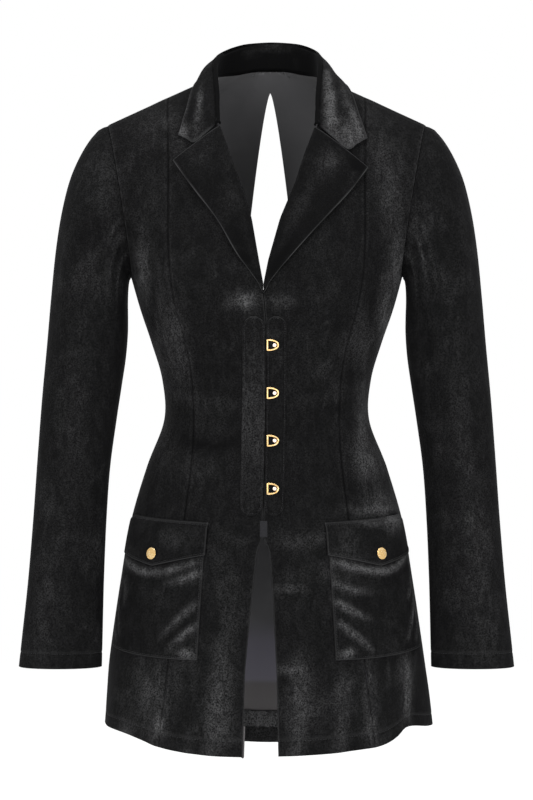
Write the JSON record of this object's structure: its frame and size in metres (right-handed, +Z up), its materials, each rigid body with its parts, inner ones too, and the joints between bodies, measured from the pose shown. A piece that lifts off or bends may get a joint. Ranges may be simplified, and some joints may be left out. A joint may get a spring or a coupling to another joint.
{
  "type": "velvet jacket",
  "caption": "Fitted longline velvet jacket in its worn, hollow shape, with rolled lapels, busk front, flap pockets, open front slit and a back keyhole.",
  "frame": {"origin": "where the wearer holds the jacket: between the high shoulder points, at their level, in the plane of the shoulder seams", "axes": "+Z up, the jacket's front faces -Y, +X towards the wearer's left sleeve (the right of the picture)"},
  "size_m": [0.569, 0.2637, 0.8363],
  "materials": {
    "velvet": "black stretch velvet with a short, softly shining nap; smooth dark grey knitted back",
    "thread": "black polyester sewing thread, slight sheen",
    "brass": "polished pale gold plating",
    "stud_metal": "pale satin plating"
  },
  "bodies": {
    "root": {"front_centre_left": "velvet", "front_centre_right": "velvet", "front_side_left": "velvet", "front_side_right": "velvet", "back": "velvet", "sleeve_left": "velvet", "sleeve_right": "velvet", "collar": "velvet", "lapel_left": "velvet", "lapel_right": "velvet", "pocket_left": "velvet", "pocket_right": "velvet", "pocket_flap_left": "velvet", "pocket_flap_right": "velvet", "busk_channel_left": "velvet", "busk_channel_right": "velvet", "bar_tack": "thread", "busk_loop_1": "brass", "busk_loop_2": "brass", "busk_loop_3": "brass", "busk_loop_4": "brass", "busk_stud_1": "stud_metal", "busk_stud_2": "stud_metal", "busk_stud_3": "stud_metal", "busk_stud_4": "stud_metal", "snap_left": "brass", "snap_right": "brass"}
  },
  "joints": []
}
